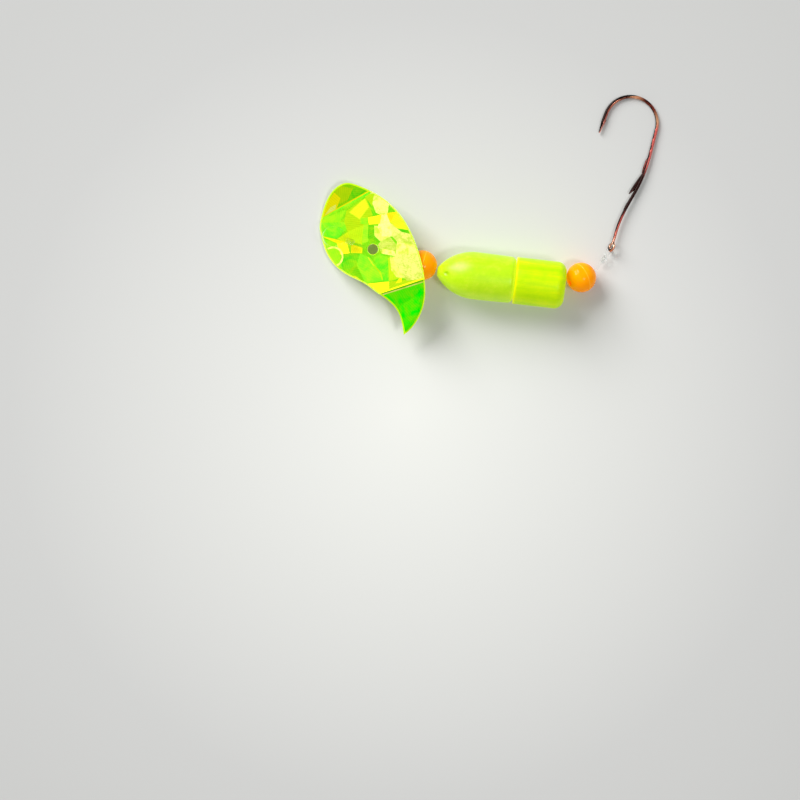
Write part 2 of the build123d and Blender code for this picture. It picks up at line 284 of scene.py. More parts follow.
loop_knot_start = blade_hole - line_way * HOLE_TO_LOOP_KNOT * MM
hook_knot_start = swing_point - knot_to_eye * EYE_TO_HOOK_KNOT * MM
wound_knot("loop_knot_turns", loop_knot_start, -line_way, LOOP_WRAP_R, "loop_knot")
wound_knot("hook_knot_turns", hook_knot_start, -knot_to_eye, HOOK_WRAP_R, "hook_knot")

# -------------------------------------------------------------------------- the blade
# A comma of thin fluorescent clear sheet, die cut and creased hot across the head and the tail. It
# carries a faint painted glow all over, an emission that stands in for light and shows most at its
# bare rim.
SHEET_PAINTED_GLOW = (0.70, 1.0, 0.0, 1)

sheet_plastic, nodes, links, shader = new_finish("clear_sheet_painted_glow")
place = nodes.new("ShaderNodeTexCoord")
haze = nodes.new("ShaderNodeTexNoise")
haze.inputs["Scale"].default_value = 420
haze.inputs["Detail"].default_value = 4
tint = tone_ramp(nodes, [(0.3, (0.52, 0.90, 0.0, 1)), (0.7, (0.72, 0.94, 0.02, 1))])
scuffs = tone_ramp(nodes, [(0.35, (0.10, 0.10, 0.10, 1)), (0.75, (0.28, 0.28, 0.28, 1))])
haze_bump = nodes.new("ShaderNodeBump")
haze_bump.inputs["Strength"].default_value = 0.12
haze_bump.inputs["Distance"].default_value = 0.00005
links.new(place.outputs["Object"], haze.inputs["Vector"])
links.new(haze.outputs["Fac"], tint.inputs["Fac"])
links.new(haze.outputs["Fac"], scuffs.inputs["Fac"])
links.new(haze.outputs["Fac"], haze_bump.inputs["Height"])
links.new(tint.outputs["Color"], shader.inputs["Base Color"])
links.new(scuffs.outputs["Color"], shader.inputs["Roughness"])
links.new(haze_bump.outputs["Normal"], shader.inputs["Normal"])
shader.inputs["IOR"].default_value = 1.45
shader.inputs["Transmission Weight"].default_value = 0.2
shader.inputs["Specular IOR Level"].default_value = 0.3
shader.inputs["Emission Color"].default_value = SHEET_PAINTED_GLOW
shader.inputs["Emission Strength"].default_value = 0.1
wears(frame["nodes"]["blade"], sheet_plastic)

# --------------------------------------------------------------------- the blade's film
# Holographic foil laminated on the blade's face and stopped just short of its edge. It is
# pressed in straight-sided facets, each ruled with fine lines at its own slant, and it
# takes the two creases with the sheet. Its places are mm from the blade's hole: back
# along the line, then towards the hook's side.
FOIL = {
    "leaf": (0.11, 0.50, 0.0),
    "deep": (0.055, 0.47, 0.0),
    "fresh": (0.16, 0.53, 0.0),
    "lime": (0.33, 0.55, 0.0),
    "lemon": (0.43, 0.58, 0.0),
    "yellow": (0.68, 0.62, 0.0),
    "gold": (0.74, 0.50, 0.0),
    "cream": (0.66, 0.70, 0.11),
    "tail": (0.0, 0.80, 0.0),
    "tail_deep": (0.0, 0.88, 0.0),
    "haze": (0.25, 0.52, 0.0),
    "pale": (0.69, 0.68, 0.14),
}
# Painted glare, a highlight put into the foil's colour: the pale facets carry it fully, the haze
# facets half.
PAINTED_GLARE = {"pale": 1.0, "haze": 0.5}
FACETS = [
    ("lime", [(-10.7, 10.2), (-7.6, 10.4), (-7.9, 8.0), (-9.3, 6.7), (-10.9, 8.5)]),
    ("yellow", [(-11.0, 8.6), (-9.4, 7.9), (-9.5, 5.8), (-11.9, 2.8), (-12.0, 5.3)]),
    ("deep", [(-7.6, 10.4), (-6.3, 11.5), (-4.5, 10.9), (-7.9, 7.6)]),
    ("lime", [(-4.8, 9.6), (-3.6, 11.0), (-3.0, 10.0), (-2.7, 8.1)]),
    ("fresh", [(-11.8, 2.7), (-7.7, 6.0), (-8.0, 3.2), (-11.4, 1.9)]),
    ("deep", [(-12.0, 1.9), (-7.2, 3.5), (-6.3, 2.4), (-7.6, -0.1), (-11.0, -0.5)]),
    ("lime", [(-7.5, 5.8), (-4.5, 9.5), (-2.2, 6.6), (-2.5, 4.4), (-5.9, 1.8), (-7.2, 3.5)]),
    ("lemon", [(-6.9, 5.7), (-4.7, 9.3), (-3.4, 7.9), (-4.4, 5.0)]),
    ("lime", [(-5.9, 1.9), (-3.3, 4.1), (-2.4, 0.3), (-4.6, 0.0)]),
    ("lemon", [(-7.5, -0.1), (-5.9, 1.9), (-4.6, 0.0), (-5.6, -0.2)]),
    ("fresh", [(-3.3, 4.1), (-2.4, 4.4), (-1.4, 1.2), (-2.4, 0.5)]),
    ("deep", [(-2.4, 4.4), (-0.7, 4.7), (1.1, 2.0), (-0.5, 1.2), (-1.7, 1.9)]),
    ("leaf", [(-4.3, 5.2), (-2.9, 5.8), (-2.5, 4.4), (-4.0, 4.1)]),
    ("fresh", [(-11.0, -0.9), (-7.3, -1.0), (-5.9, -3.0), (-4.8, -5.5), (-8.6, -3.8)]),
    ("yellow", [(-11.0, -0.5), (-5.7, -0.1), (-5.2, -0.6), (-7.3, -1.0)]),
    ("gold", [(-7.3, -1.0), (-5.4, -0.3), (-4.2, -2.1), (-5.9, -2.9)]),
    ("yellow", [(-4.5, -0.3), (-2.1, -0.3), (-1.8, -1.4), (-4.0, -2.0)]),
    ("deep", [(-5.5, -3.2), (-2.2, -1.6), (-2.1, -4.0), (-4.1, -5.8), (-5.0, -5.1)]),
    ("leaf", [(-2.2, -1.6), (0.0, -1.8), (3.0, -3.8), (3.8, -5.4), (0.7, -6.9), (-2.1, -4.0)]),
    ("leaf", [(-2.1, -4.0), (0.7, -6.9), (-3.5, -5.5)]),
    ("deep", [(0.6, -1.6), (1.9, -0.4), (3.4, -0.7), (5.0, -5.2), (3.8, -5.4)]),
    ("lime", [(3.4, -0.7), (5.4, -0.3), (7.4, -3.5), (5.1, -5.2)]),
    ("yellow", [(-4.1, -6.2), (-3.4, -5.6), (-1.5, -6.2), (0.5, -6.1), (0.6, -7.2)]),
    ("yellow", [(1.1, -6.9), (5.1, -5.2), (5.6, -6.7), (3.9, -8.4)]),
    ("lime", [(5.5, -6.6), (5.3, -5.1), (8.6, -3.7), (11.4, -2.5), (11.6, -3.2)]),
    ("yellow", [(6.4, -5.2), (6.8, -4.0), (7.3, -3.6), (7.5, -4.6)]),
    ("haze", [(-1.2, 4.6), (0.6, 4.9), (2.5, 3.4), (1.0, 1.9), (-0.6, 2.7)]),
    ("haze", [(2.5, 3.4), (4.3, 2.2), (4.5, 0.9), (1.9, -0.3), (0.7, 1.2), (1.0, 1.9)]),
    ("haze", [(3.7, -0.4), (5.8, 0.25), (8.1, -3.7), (6.2, -3.9), (4.8, -2.9)]),
    # The pale facets across the back are painted glare on the foil.
    ("pale", [(-3.3, 11.2), (0.1, 10.2), (0.5, 7.5), (-0.5, 7.0), (-1.7, 7.2), (-2.9, 8.7)]),
    ("pale", [(0.1, 10.2), (0.5, 9.9), (0.9, 7.6), (0.5, 7.5)]),
    ("pale", [(-0.5, 7.1), (0.5, 7.5), (1.7, 6.0), (2.9, 3.6), (1.0, 3.0), (-0.4, 4.4)]),
    ("pale", [(1.7, 6.0), (7.5, 4.8), (8.9, 2.9), (5.5, 2.1), (2.9, 3.6)]),
    ("pale", [(4.2, 2.8), (8.4, 3.4), (9.6, 1.8), (4.8, 0.0), (4.3, 2.0)]),
    ("pale", [(1.6, 0.7), (4.4, 0.9), (4.8, 0.0), (2.0, -0.3)]),
    (
        "pale",
        [(4.7, 0.4), (9.6, 2.2), (11.9, -2.3), (10.9, -2.9), (8.4, -4.0), (6.9, -2.9), (4.7, -1.2)],
    ),
    ("gold", [(-2.9, 5.8), (-0.5, 7.1), (-0.2, 5.3), (-2.3, 4.5)]),
    ("deep", [(0.2, 9.9), (2.3, 9.3), (2.3, 8.6), (0.6, 7.8)]),
    ("gold", [(0.4, 7.7), (2.5, 8.7), (2.7, 7.1), (1.7, 6.1)]),
    ("lemon", [(2.4, 8.8), (4.8, 7.6), (6.0, 5.7), (3.3, 5.4), (1.7, 6.1)]),
    ("deep", [(3.3, 5.4), (6.2, 5.8), (6.0, 5.1), (4.4, 5.0)]),
    # Along the head's crease: a dark line of painted shade and a yellow painted highlight on the
    # crest.
    ("deep", [(-12.2, 2.4), (-11.9, 2.8), (-4.4, 10.8), (-4.2, 10.2)]),
    ("yellow", [(-12.3, 2.5), (-12.3, 2.78), (-4.5, 11.0), (-4.2, 10.9)]),
    ("cream", [(-10.8, 5.5), (-9.9, 6.4), (-9.7, 5.5), (-11.4, 3.7)]),
    ("lime", [(-0.6, -1.8), (-0.4, -1.7), (1.3, -3.0), (1.1, -3.2)]),
    ("lime", [(1.1, -3.2), (1.3, -3.0), (2.9, -3.8), (2.7, -4.1)]),
    ("lime", [(2.7, -4.1), (2.9, -3.8), (3.9, -5.3), (3.6, -5.3)]),
    ("tail_deep", [(8.5, -9.4), (11.9, -5.3), (12.4, -9.8), (10.9, -13.1)]),
    # Along the tail's crease: a dark line of painted shade, a yellow painted highlight on the crest
    # and a paler painted highlight beside it.
    ("deep", [(3.9, -8.1), (11.9, -2.5), (12.0, -2.75), (4.2, -8.4)]),
    ("yellow", [(3.7, -8.0), (11.3, -2.5), (11.8, -2.5), (3.9, -8.25)]),
    ("pale", [(3.95, -8.45), (11.9, -2.9), (12.0, -3.1), (4.1, -8.6)]),
]

# A pale curl in the foil near its front edge, as a chain of short facets on an arc.
CURL_CENTRE = (-7.2, -3.8)
CURL_R = (1.75, 2.1)
CURL_START = 142
CURL_STEP = 16
CURL_PIECES = 12
for step in range(CURL_PIECES):
    ring = []
    for end, radii in ((step, CURL_R), (step + 1, CURL_R[::-1])):
        angle = math.radians(CURL_START - CURL_STEP * end)
        for radius in radii:
            x = CURL_CENTRE[0] + radius * math.cos(angle)
            ring.append((x, CURL_CENTRE[1] + radius * math.sin(angle)))
    FACETS.append(("cream", ring))
FILM_LIFT = 0.01
along_blade = line_way.copy()
across_blade = UP.cross(line_way).normalized()


def on_blade(at):
    """A place on the blade, from mm along and across its hole, at the hole's height."""
    return blade_hole + (along_blade * at[0] + across_blade * at[1]) * MM


let_go()
film = bpy.data.objects.new("holographic_film", frame["nodes"]["blade_film"].data.copy())
bpy.context.scene.collection.objects.link(film)
film.select_set(True)
bpy.context.view_layer.objects.active = film
bpy.ops.object.mode_set(mode="EDIT")
bpy.ops.mesh.select_all(action="SELECT")
bpy.ops.mesh.remove_doubles(threshold=1e-6)
bpy.ops.transform.translate(value=(0, 0, FILM_LIFT * MM))

for layer in ("cutting", "facet"):
    bmesh.from_edit_mesh(film.data).faces.layers.int.new(layer)


def side_of(place, first, last):
    """How far a place lies to the left of the line from first to last, seen from above."""
    run = last - first
    return (run.x * (place.y - first.y) - run.y * (place.x - first.x)) / run.length


for number, (tone, corners) in enumerate(FACETS, start=1):
    spots = [on_blade(at) for at in corners]
    middle = sum(spots, Vector()) / len(spots)
    shape = bmesh.from_edit_mesh(film.data)
    cutting = shape.faces.layers.int["cutting"]
    low = [min(spot[axis] for spot in spots) for axis in (0, 1)]
    high = [max(spot[axis] for spot in spots) for axis in (0, 1)]
    for face in shape.faces:
        near = True
        for axis in (0, 1):
            reach = [vert.co[axis] for vert in face.verts]
            near = near and min(reach) < high[axis] and max(reach) > low[axis]
        face[cutting] = int(near)
    for first, last in zip(spots, spots[1:] + spots[:1]):
        inward = 1 if side_of(middle, first, last) > 0 else -1
        shape = bmesh.from_edit_mesh(film.data)
        cutting = shape.faces.layers.int["cutting"]
        bpy.ops.mesh.select_all(action="DESELECT")
        for face in shape.faces:
            if face[cutting]:
                face.select = True
        bmesh.update_edit_mesh(film.data)
        if not any(face.select for face in shape.faces):
            break
        facing = (last - first).cross(UP).normalized()
        bpy.ops.mesh.bisect(plane_co=first, plane_no=facing, threshold=1e-7)
        shape = bmesh.from_edit_mesh(film.data)
        cutting = shape.faces.layers.int["cutting"]
        for face in shape.faces:
            if face[cutting] and side_of(face.calc_center_median(), first, last) * inward < 0:
                face[cutting] = 0
    shape = bmesh.from_edit_mesh(film.data)
    cutting = shape.faces.layers.int["cutting"]
    facet = shape.faces.layers.int["facet"]
    for face in shape.faces:
        if face[cutting]:
            face[facet] = number
            face[cutting] = 0
    bmesh.update_edit_mesh(film.data)

# The cuts left over inside one facet are taken out again, so that none shows.
for number in range(len(FACETS) + 1):
    film.data.materials.append(None)
shape = bmesh.from_edit_mesh(film.data)
facet = shape.faces.layers.int["facet"]
for face in shape.faces:
    face.material_index = face[facet]
    face.select = abs(face.normal.z) > 0.5
bmesh.update_edit_mesh(film.data)
bpy.ops.mesh.dissolve_limited(angle_limit=math.radians(0.5), delimit={"MATERIAL"})
bpy.ops.mesh.select_all(action="SELECT")
bpy.ops.mesh.quads_convert_to_tris(quad_method="BEAUTY", ngon_method="BEAUTY")
shape = bmesh.from_edit_mesh(film.data)
for face in shape.faces:
    face.material_index = 0
bmesh.update_edit_mesh(film.data)
bpy.ops.object.mode_set(mode="OBJECT")
bpy.ops.mesh.customdata_custom_splitnormals_clear()
bpy.ops.object.shade_flat()

tail_first, tail_last = on_blade((3.99, -8.19)), on_blade((11.6, -2.71))
head_first, head_last = on_blade((-11.94, 2.87)), on_blade((-4.42, 10.74))
colour = film.data.color_attributes.new("foil_colour", "FLOAT_COLOR", "CORNER")
ruling = film.data.uv_layers.new(name="ruling")
numbers = film.data.attributes["facet"].data
for face in film.data.polygons:
    number = numbers[face.index].value
    if number:
        tone = FACETS[number - 1][0]
    elif side_of(face.center, tail_first, tail_last) < 0:
        tone = "tail"
    elif side_of(face.center, head_first, head_last) > 0:
        tone = "fresh"
    else:
        tone = "leaf"
    slant = Matrix.Rotation(math.radians(137 * number + 20 if number else -50), 2)
    for corner in face.loop_indices:
        at = film.data.vertices[film.data.loops[corner].vertex_index].co - blade_hole
        colour.data[corner].color = (*FOIL[tone], PAINTED_GLARE.get(tone, 0.0))
        ruling.data[corner].uv = slant @ Vector((at.dot(along_blade), at.dot(across_blade))) / MM

holo, nodes, links, shader = new_finish("holographic_foil")
tone_in = nodes.new("ShaderNodeVertexColor")
tone_in.layer_name = "foil_colour"
slants = nodes.new("ShaderNodeUVMap")
slants.uv_map = "ruling"
place = nodes.new("ShaderNodeTexCoord")

# The dye is uneven, so each facet drifts towards lime and back.
mottle = nodes.new("ShaderNodeTexNoise")
mottle.inputs["Scale"].default_value = 420
mottle.inputs["Detail"].default_value = 7
mottle.inputs["Roughness"].default_value = 0.68
mottle.inputs["Distortion"].default_value = 0.7
drift = tone_ramp(nodes, [(0.40, (0, 0, 0, 1)), (0.68, (0.42, 0.42, 0.42, 1))])
drifted = tone_mix(nodes, (0.48, 0.58, 0.0, 1))
links.new(place.outputs["Object"], mottle.inputs["Vector"])
links.new(mottle.outputs["Fac"], drift.inputs["Fac"])
links.new(drift.outputs["Color"], drifted.inputs[0])
links.new(tone_in.outputs["Color"], drifted.inputs[6])

# Fine ruled lines, darker between, at each facet's own slant.
rules = nodes.new("ShaderNodeTexWave")
rules.inputs["Scale"].default_value = 0.75
rules.inputs["Distortion"].default_value = 0.8
rules.inputs["Detail"].default_value = 3
rules.inputs["Detail Scale"].default_value = 1.4
rule_shade = nodes.new("ShaderNodeMapRange")
rule_shade.inputs["To Min"].default_value = 0.94
rule_shade.inputs["To Max"].default_value = 1.03
ruled = nodes.new("ShaderNodeMix")
ruled.data_type = "RGBA"
ruled.blend_type = "MULTIPLY"
ruled.inputs[0].default_value = 1.0
links.new(slants.outputs["UV"], rules.inputs["Vector"])
links.new(rules.outputs["Fac"], rule_shade.inputs["Value"])
links.new(drifted.outputs[2], ruled.inputs[6])
links.new(rule_shade.outputs["Result"], ruled.inputs[7])

# Across the back the foil's colour carries a painted glare: pale yellow, broken by a net of greener
# cracks and ragged borders.
warp = nodes.new("ShaderNodeTexNoise")
warp.inputs["Scale"].default_value = 520
warp.inputs["Detail"].default_value = 5
warp.inputs["Roughness"].default_value = 0.7
warped = nodes.new("ShaderNodeVectorMath")
warped.operation = "MULTIPLY_ADD"
warped.inputs[1].default_value = (0.0036, 0.0036, 0.0036)
cracks = nodes.new("ShaderNodeTexVoronoi")
cracks.feature = "DISTANCE_TO_EDGE"
cracks.inputs["Scale"].default_value = 620
crack_line = tone_ramp(nodes, [(0.0, (0.35, 0.35, 0.35, 1)), (0.08, (1, 1, 1, 1))])
ragged = tone_ramp(nodes, [(0.40, (0.0, 0.0, 0.0, 1)), (0.52, (1, 1, 1, 1))])
glare_crack_net = math_step(nodes, "MULTIPLY")
painted_glare_share = math_step(nodes, "MULTIPLY")
tone_under_glare = tone_mix(nodes, (0.42, 0.56, 0.035, 1))
foil_tone_with_glare = tone_mix(nodes, (*FOIL["pale"], 1))
links.new(place.outputs["Object"], warp.inputs["Vector"])
links.new(warp.outputs["Color"], warped.inputs[0])
links.new(place.outputs["Object"], warped.inputs[2])
links.new(warped.outputs["Vector"], cracks.inputs["Vector"])
links.new(cracks.outputs["Distance"], crack_line.inputs["Fac"])
links.new(warp.outputs["Fac"], ragged.inputs["Fac"])
links.new(crack_line.outputs["Color"], glare_crack_net.inputs[0])
links.new(ragged.outputs["Color"], glare_crack_net.inputs[1])
links.new(glare_crack_net.outputs["Value"], painted_glare_share.inputs[0])
links.new(tone_in.outputs["Alpha"], painted_glare_share.inputs[1])
links.new(tone_in.outputs["Alpha"], tone_under_glare.inputs[0])
links.new(ruled.outputs[2], tone_under_glare.inputs[6])
links.new(painted_glare_share.outputs["Value"], foil_tone_with_glare.inputs[0])
links.new(tone_under_glare.outputs[2], foil_tone_with_glare.inputs[6])
links.new(foil_tone_with_glare.outputs[2], shader.inputs["Base Color"])
# The foil's colour is also given out as a painted glow, which lifts its shaded facets.
links.new(foil_tone_with_glare.outputs[2], shader.inputs["Emission Color"])

# Each facet leans a little its own way, and its lines and dents catch the light.
lean = nodes.new("ShaderNodeSeparateXYZ")
lean_height = math_step(nodes, "MULTIPLY", 0.14)
line_height = math_step(nodes, "MULTIPLY_ADD", 0.008)
dent_height = math_step(nodes, "MULTIPLY_ADD", 0.09)
foil_bump = nodes.new("ShaderNodeBump")
foil_bump.inputs["Strength"].default_value = 0.6
foil_bump.inputs["Distance"].default_value = 0.001
links.new(slants.outputs["UV"], lean.inputs["Vector"])
links.new(lean.outputs["X"], lean_height.inputs[0])
links.new(rules.outputs["Fac"], line_height.inputs[0])
links.new(lean_height.outputs["Value"], line_height.inputs[2])
links.new(warp.outputs["Fac"], dent_height.inputs[0])
links.new(line_height.outputs["Value"], dent_height.inputs[2])
links.new(dent_height.outputs["Value"], foil_bump.inputs["Height"])
links.new(foil_bump.outputs["Normal"], shader.inputs["Normal"])
shader.inputs["Metallic"].default_value = 0.25
shader.inputs["Roughness"].default_value = 0.42
shader.inputs["Specular IOR Level"].default_value = 0.08
shader.inputs["Emission Strength"].default_value = 0.18
wears(film, holo)
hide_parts("blade_film")
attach(film, "blade")

# -------------------------------------------------------------------------- the beads
# Two moulded beads of bright orange plastic, bored for the line. The mould's parting line
# shows as a fine pale ridge round the middle, square to the bore.
BEAD_R = 3.0
BORE_R = 0.6
BEAD_RINGS = 32
POLE_R = 0.45
POLE_RING_R = 0.585
MOUTH_HEIGHT = 2.85
MOUTH_ROUND = 0.16
SEAM_HALF_WIDTH = 0.07
SEAM_SWELL = 1.011


def orange_bead(name, node, joint):
    """A bored bead on its CAD node's place, with its bore along the joint's axis."""
    low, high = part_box(node)
    let_go()
    bpy.ops.mesh.primitive_uv_sphere_add(segments=64, ring_count=BEAD_RINGS, radius=BEAD_R * MM)
    bead = bpy.context.object
    bead.name = name
    bpy.ops.object.mode_set(mode="EDIT")
    bpy.ops.mesh.select_all(action="DESELECT")
    shape = bmesh.from_edit_mesh(bead.data)
    for vert in shape.verts:
        vert.select = vert.co.xy.length < POLE_R * MM
    bmesh.update_edit_mesh(bead.data)
    bpy.ops.mesh.delete(type="VERT")
    shape = bmesh.from_edit_mesh(bead.data)
    for edge in shape.edges:
        edge.select = edge.is_boundary
    bmesh.update_edit_mesh(bead.data)
    widen = BORE_R / POLE_RING_R
    bpy.ops.transform.resize(value=(widen, widen, 1), center_override=(0, 0, 0))
    bpy.ops.mesh.bridge_edge_loops(number_cuts=10)
    bpy.ops.mesh.select_all(action="DESELECT")
    shape = bmesh.from_edit_mesh(bead.data)
    for edge in shape.edges:
        first, last = edge.verts
        on_bore = all(abs(vert.co.xy.length - BORE_R * MM) < 2e-6 for vert in (first, last))
        on_end = all(abs(vert.co.z) > MOUTH_HEIGHT * MM for vert in (first, last))
        edge.select = on_bore and on_end and abs(first.co.z - last.co.z) < 1e-6
    bmesh.update_edit_mesh(bead.data)
    bpy.ops.mesh.bevel(offset=MOUTH_ROUND * MM, segments=3)
    for height in (-SEAM_HALF_WIDTH, SEAM_HALF_WIDTH):
        bpy.ops.mesh.select_all(action="SELECT")
        bpy.ops.mesh.bisect(plane_co=(0, 0, height * MM), plane_no=(0, 0, 1), threshold=1e-7)
    shape = bmesh.from_edit_mesh(bead.data)
    for vert in shape.verts:
        if abs(vert.co.z) < 1e-6 and vert.co.xy.length > 2 * MM:
            vert.co.xy *= SEAM_SWELL
    bmesh.update_edit_mesh(bead.data)
    bpy.ops.mesh.select_all(action="SELECT")
    bpy.ops.mesh.normals_make_consistent(inside=False)
    bpy.ops.object.mode_set(mode="OBJECT")
    from_seam = bead.data.attributes.new("from_seam", "FLOAT", "POINT")
    for vert in bead.data.vertices:
        from_seam.data[vert.index].value = vert.co.z / MM
    bore = Vector(joints[joint]["axis"])
    turned = bore.to_track_quat("Z", "Y").to_matrix().to_4x4()
    bead.matrix_world = Matrix.Translation((low + high) / 2) @ turned
    bpy.ops.object.transform_apply(location=True, rotation=True, scale=True)
    bpy.ops.object.shade_smooth_by_angle(angle=math.radians(40))
    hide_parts(node)
    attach(bead, node)
    return bead


orange, nodes, links, shader = new_finish("moulded_orange")
seam_in = nodes.new("ShaderNodeAttribute")
seam_in.attribute_name = "from_seam"
place = nodes.new("ShaderNodeTexCoord")
swirl = nodes.new("ShaderNodeTexNoise")
swirl.inputs["Scale"].default_value = 300
swirl.inputs["Detail"].default_value = 4
swirl.inputs["Distortion"].default_value = 0.8
body_tone = tone_ramp(nodes, [(0.3, (0.92, 0.26, 0.0, 1)), (0.7, (0.92, 0.36, 0.0, 1))])
off_seam = math_step(nodes, "ABSOLUTE")
seam_line = nodes.new("ShaderNodeMapRange")
seam_line.inputs["From Min"].default_value = 0.03
seam_line.inputs["From Max"].default_value = 0.14
seam_line.inputs["To Min"].default_value = 0.5
seam_line.inputs["To Max"].default_value = 0.0
with_seam = tone_mix(nodes, (1.0, 0.62, 0.05, 1))
gloss = nodes.new("ShaderNodeMapRange")
gloss.inputs["To Min"].default_value = 0.08
gloss.inputs["To Max"].default_value = 0.2
skin = nodes.new("ShaderNodeBump")
skin.inputs["Strength"].default_value = 0.1
skin.inputs["Distance"].default_value = 0.00005
links.new(place.outputs["Object"], swirl.inputs["Vector"])
links.new(swirl.outputs["Fac"], body_tone.inputs["Fac"])
links.new(seam_in.outputs["Fac"], off_seam.inputs[0])
links.new(off_seam.outputs["Value"], seam_line.inputs["Value"])
links.new(seam_line.outputs["Result"], with_seam.inputs[0])
links.new(body_tone.outputs["Color"], with_seam.inputs[6])
links.new(with_seam.outputs[2], shader.inputs["Base Color"])
links.new(swirl.outputs["Fac"], gloss.inputs["Value"])
links.new(gloss.outputs["Result"], shader.inputs["Roughness"])
links.new(swirl.outputs["Fac"], skin.inputs["Height"])
links.new(skin.outputs["Normal"], shader.inputs["Normal"])
shader.inputs["Specular IOR Level"].default_value = 0.1
# A painted glow in the bead's own orange evens out its shaded side.
shader.inputs["Emission Color"].default_value = (1.0, 0.27, 0.0, 1)
shader.inputs["Emission Strength"].default_value = 0.3

wears(orange_bead("front_bead_orange", "front_bead", "front_bead_spin"), orange)
wears(orange_bead("rear_bead_orange", "rear_bead", "rear_bead_spin"), orange)

# ------------------------------------------------------------------------ the float
# Two pieces of foamed-in chartreuse plastic on one bore: a bullet nose, moulded, with the
# dimple of its gate near the tip, and a plain cylinder cut square at the front and
# rounded at the back. Both are a little clear, with flow lines along them.
NOSE_LENGTH = 15.5
NOSE_R = 4.75
NOSE_REAR_R = 4.62
SHOULDER = 7.6
REAR_LENGTH = 10.08
REAR_R = 4.7
nose_tip = Vector(joints["float_nose_spin"]["pos_m"])


def turned_piece(name, start, profile):
    """A solid of revolution on a bore along X, drawn out ring by ring from its front face."""
    let_go()
    bpy.ops.mesh.primitive_circle_add(
        vertices=96,
        radius=profile[0][1] * MM,
        location=start + Vector((profile[0][0] * MM, 0, 0)),
        rotation=(0, math.radians(90), 0),
    )
    piece = bpy.context.object
    piece.name = name
    bpy.ops.object.transform_apply(location=True, rotation=True, scale=True)
    bpy.ops.object.mode_set(mode="EDIT")
    bpy.ops.mesh.select_all(action="SELECT")
    for (x, r), (next_x, next_r) in zip(profile, profile[1:]):
        step = ((next_x - x) * MM, 0, 0)
        bpy.ops.mesh.extrude_region_move(TRANSFORM_OT_translate={"value": step})
        axis_at = start + Vector((next_x * MM, 0, 0))
        bpy.ops.transform.resize(value=(1, next_r / r, next_r / r), center_override=axis_at)
    bpy.ops.mesh.select_all(action="SELECT")
    bpy.ops.mesh.remove_doubles(threshold=1e-6)
    bpy.ops.mesh.normals_make_consistent(inside=False)
    bpy.ops.object.mode_set(mode="OBJECT")
    bpy.ops.object.shade_smooth_by_angle(angle=math.radians(35))
    return piece


def rounded(centre, radius, first, last, steps):
    """Profile places on an arc, its angles counted in degrees from +X towards outward."""
    places = []
    for step in range(steps + 1):
        angle = math.radians(first + (last - first) * step / steps)
        places.append((centre[0] + radius * math.cos(angle), centre[1] + radius * math.sin(angle)))
    return places


rim_at = (0.22, 1.12)
ogive_r = ((SHOULDER - rim_at[0]) ** 2 + (NOSE_R - rim_at[1]) ** 2) / (2 * (NOSE_R - rim_at[1]))
ogive_centre = (SHOULDER, NOSE_R - ogive_r)
rim_angle = math.degrees(math.atan2(rim_at[1] - ogive_centre[1], rim_at[0] - ogive_centre[0]))
nose_profile = [(0.25, BORE_R), (0.0, 0.72), (0.0, 0.85), (0.08, 1.0)]
nose_profile += rounded(ogive_centre, ogive_r, rim_angle, 90, 22)
nose_profile += [(9.6, 4.72), (11.6, 4.69), (13.4, 4.66)]
nose_profile += rounded((NOSE_LENGTH - 1.0, NOSE_REAR_R - 1.0), 1.0, 90, 0, 10)
nose_profile += [(NOSE_LENGTH, 2.2), (NOSE_LENGTH, 0.75), (NOSE_LENGTH - 0.15, BORE_R)]
nose_profile += [(11.0, BORE_R), (6.0, BORE_R), (0.25, BORE_R)]
nose = turned_piece("float_nose_bullet", nose_tip, nose_profile)

gate = Vector((1.9, -0.42, 3.66))
DIMPLE_R = 0.75
DIMPLE_DEPTH = 0.3
FINE_MESH_R = 1.35
bpy.ops.object.mode_set(mode="EDIT")
for _ in range(2):
    bpy.ops.mesh.select_all(action="DESELECT")
    shape = bmesh.from_edit_mesh(nose.data)
    for face in shape.faces:
        at = (face.calc_center_median() - nose_tip) / MM
        face.select = at.yz.length > 1 and (at - gate).length < FINE_MESH_R
    bmesh.update_edit_mesh(nose.data)
    bpy.ops.mesh.subdivide(number_cuts=1)
shape = bmesh.from_edit_mesh(nose.data)
# The dimple is marked for a painted shade in the colour, deepest at its middle.
dimple_painted_shade = shape.verts.layers.float.new("dimple_painted_shade")
for vert in shape.verts:
    at = (vert.co - nose_tip) / MM
    outward = Vector((0, at.y, at.z)).normalized()
    off = Vector((at.x - gate.x, (at - gate).dot(outward.cross(Vector((1, 0, 0)))))).length
    if at.z > 1 and off < DIMPLE_R:
        vert[dimple_painted_shade] = 1 - (off / DIMPLE_R) ** 2
        vert.co -= outward * DIMPLE_DEPTH * MM * (1 - (off / DIMPLE_R) ** 2) ** 2
bmesh.update_edit_mesh(nose.data)
bpy.ops.object.mode_set(mode="OBJECT")

rear_profile = [(0.0, 0.78), (0.0, 2.4), (0.0, REAR_R - 0.08), (0.03, REAR_R - 0.02), (0.1, REAR_R)]
rear_profile += [(2.6, REAR_R), (5.2, REAR_R)]
rear_profile += rounded((REAR_LENGTH - 1.9, REAR_R - 1.9), 1.9, 90, 0, 12)
rear_profile += [(REAR_LENGTH, 1.6), (REAR_LENGTH, 0.78), (REAR_LENGTH - 0.18, BORE_R)]
rear_profile += [(6.0, BORE_R), (0.18, BORE_R), (0.0, 0.78)]
rear_start = Vector((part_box("float_rear")[0].x, nose_tip.y, nose_tip.z))
rear = turned_piece("float_rear_cylinder", rear_start, rear_profile)


